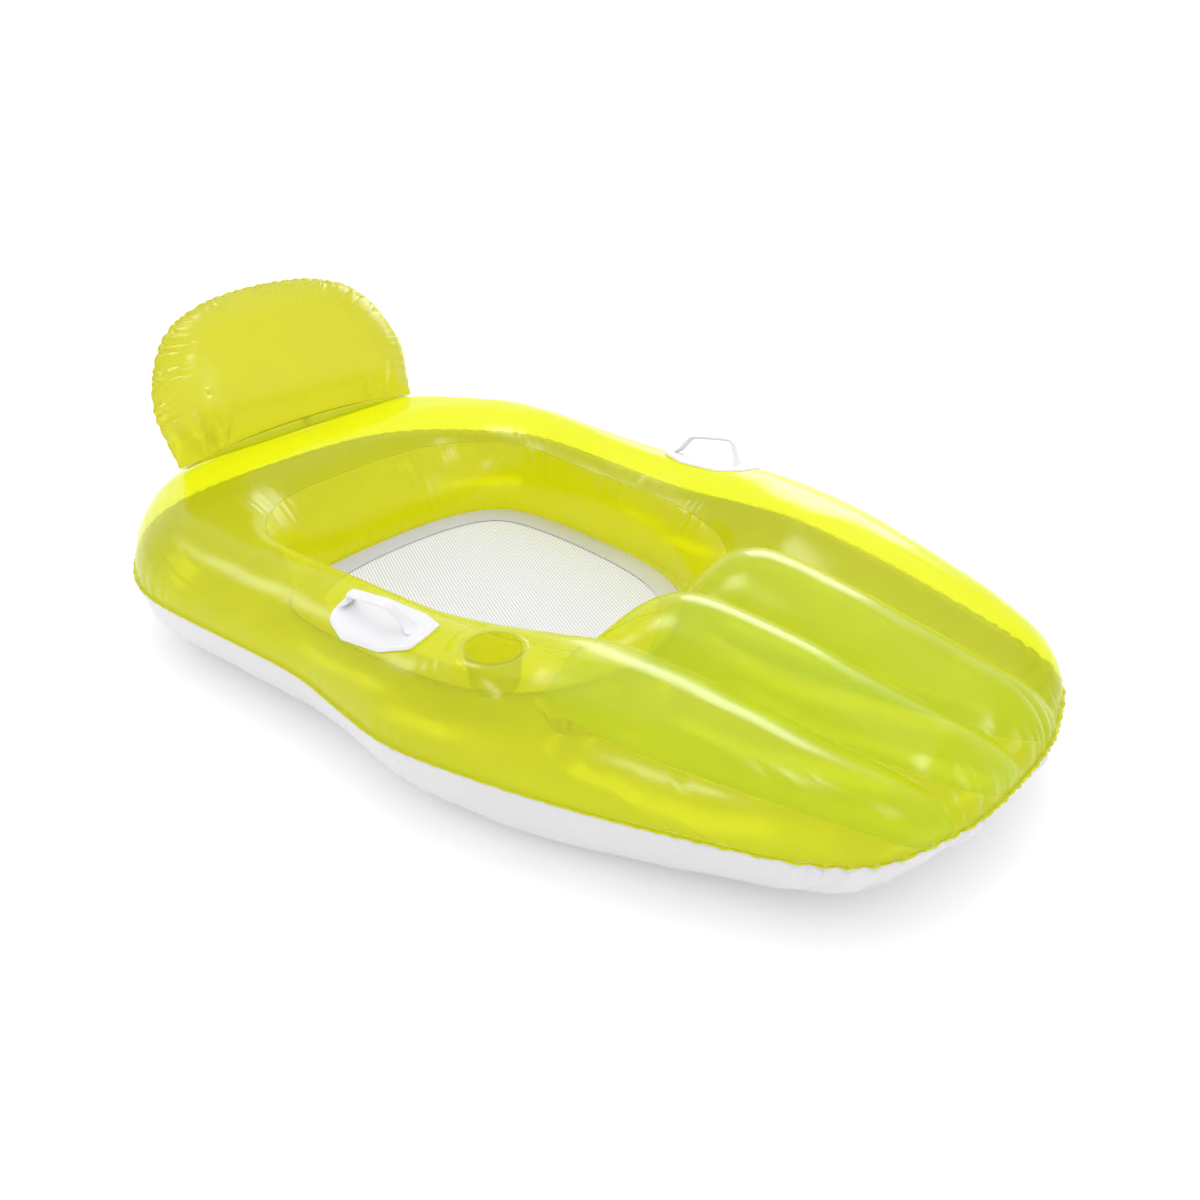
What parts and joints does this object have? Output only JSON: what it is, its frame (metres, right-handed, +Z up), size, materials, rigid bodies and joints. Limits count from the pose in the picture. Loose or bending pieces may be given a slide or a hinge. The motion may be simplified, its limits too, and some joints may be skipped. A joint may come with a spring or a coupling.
{
  "type": "inflatable pool lounge float",
  "caption": "Inflatable lounge float: air ring with ribbed foot deck, hung mesh seat, fold-down backrest, cup holder, grab handles and air valves.",
  "frame": {"origin": "on the ground, below the middle of the float's length and width", "axes": "+X towards the foot end, +Y towards the sitter's left, +Z up"},
  "size_m": [1.642, 0.988, 0.5104],
  "materials": {
    "lime_film": "glossy translucent vinyl film",
    "white_film": "glossy opaque vinyl film",
    "mesh": "open coated mesh weave",
    "moulded_vinyl": "satin moulded vinyl",
    "clear_vinyl": "glossy clear soft vinyl"
  },
  "bodies": {
    "float": {"top_panel": "lime_film", "bottom_panel": "white_film", "seat_wall": "lime_film", "right_web": "lime_film", "centre_web": "lime_film", "left_web": "lime_film", "mesh_floor": "mesh", "mesh_border": "white_film", "cup_holder": "clear_vinyl", "cup_ring": "clear_vinyl", "right_handle_base": "moulded_vinyl", "left_handle_base": "moulded_vinyl", "backrest_strip": "lime_film", "ring_valve_base": "clear_vinyl"},
    "right_grip": {"right_grip": "moulded_vinyl"},
    "left_grip": {"left_grip": "moulded_vinyl"},
    "backrest": {"backrest_front": "lime_film", "backrest_rear": "white_film", "back_valve_base": "clear_vinyl"},
    "ring_valve_stem": {"ring_valve_stem": "clear_vinyl", "ring_valve_tether": "clear_vinyl"},
    "ring_valve_flap": {"ring_valve_flap": "clear_vinyl"},
    "ring_valve_plug": {"ring_valve_plug": "clear_vinyl"},
    "back_valve_stem": {"back_valve_stem": "clear_vinyl", "back_valve_tether": "clear_vinyl"},
    "back_valve_flap": {"back_valve_flap": "clear_vinyl"},
    "back_valve_plug": {"back_valve_plug": "clear_vinyl"}
  },
  "joints": [
    {"name": "backrest_fold", "type": "hinge", "parent": "float", "child": "backrest", "pos_m": [-0.69, 0, 0.2468], "axis": [0, 1, 0], "range_deg": [-20, 50], "stiffness_Nm_per_rad": 8},
    {"name": "right_grip_flex", "type": "hinge", "parent": "float", "child": "right_grip", "pos_m": [0.014, -0.392, 0.24852], "axis": [0.997, 0, 0.0773], "range_deg": [-45, 45], "stiffness_Nm_per_rad": 0.3},
    {"name": "left_grip_flex", "type": "hinge", "parent": "float", "child": "left_grip", "pos_m": [0.014, 0.392, 0.24852], "axis": [0.997, 0, 0.0773], "range_deg": [-45, 45], "stiffness_Nm_per_rad": 0.3},
    {"name": "ring_valve_press", "type": "slide", "parent": "float", "child": "ring_valve_stem", "axis": [-0.5592, 0, 0.829], "range_m": [-0.006, 0]},
    {"name": "ring_valve_check", "type": "hinge", "parent": "ring_valve_stem", "child": "ring_valve_flap", "pos_m": [-0.76416, 0.06, 0.20825], "axis": [0, 1, 0], "range_deg": [0, 60], "stiffness_Nm_per_rad": 0.002},
    {"name": "ring_valve_pull", "type": "slide", "parent": "ring_valve_stem", "child": "ring_valve_plug", "axis": [-0.5592, 0, 0.829], "range_m": [0, 0.012]},
    {"name": "back_valve_press", "type": "slide", "parent": "backrest", "child": "back_valve_stem", "axis": [-0.9397, 0, -0.342], "range_m": [-0.006, 0]},
    {"name": "back_valve_check", "type": "hinge", "parent": "back_valve_stem", "child": "back_valve_flap", "pos_m": [-0.75545, -0.15, 0.33365], "axis": [0, 1, 0], "range_deg": [0, 60], "stiffness_Nm_per_rad": 0.002},
    {"name": "back_valve_pull", "type": "slide", "parent": "back_valve_stem", "child": "back_valve_plug", "axis": [-0.9397, 0, -0.342], "range_m": [0, 0.012]}
  ]
}
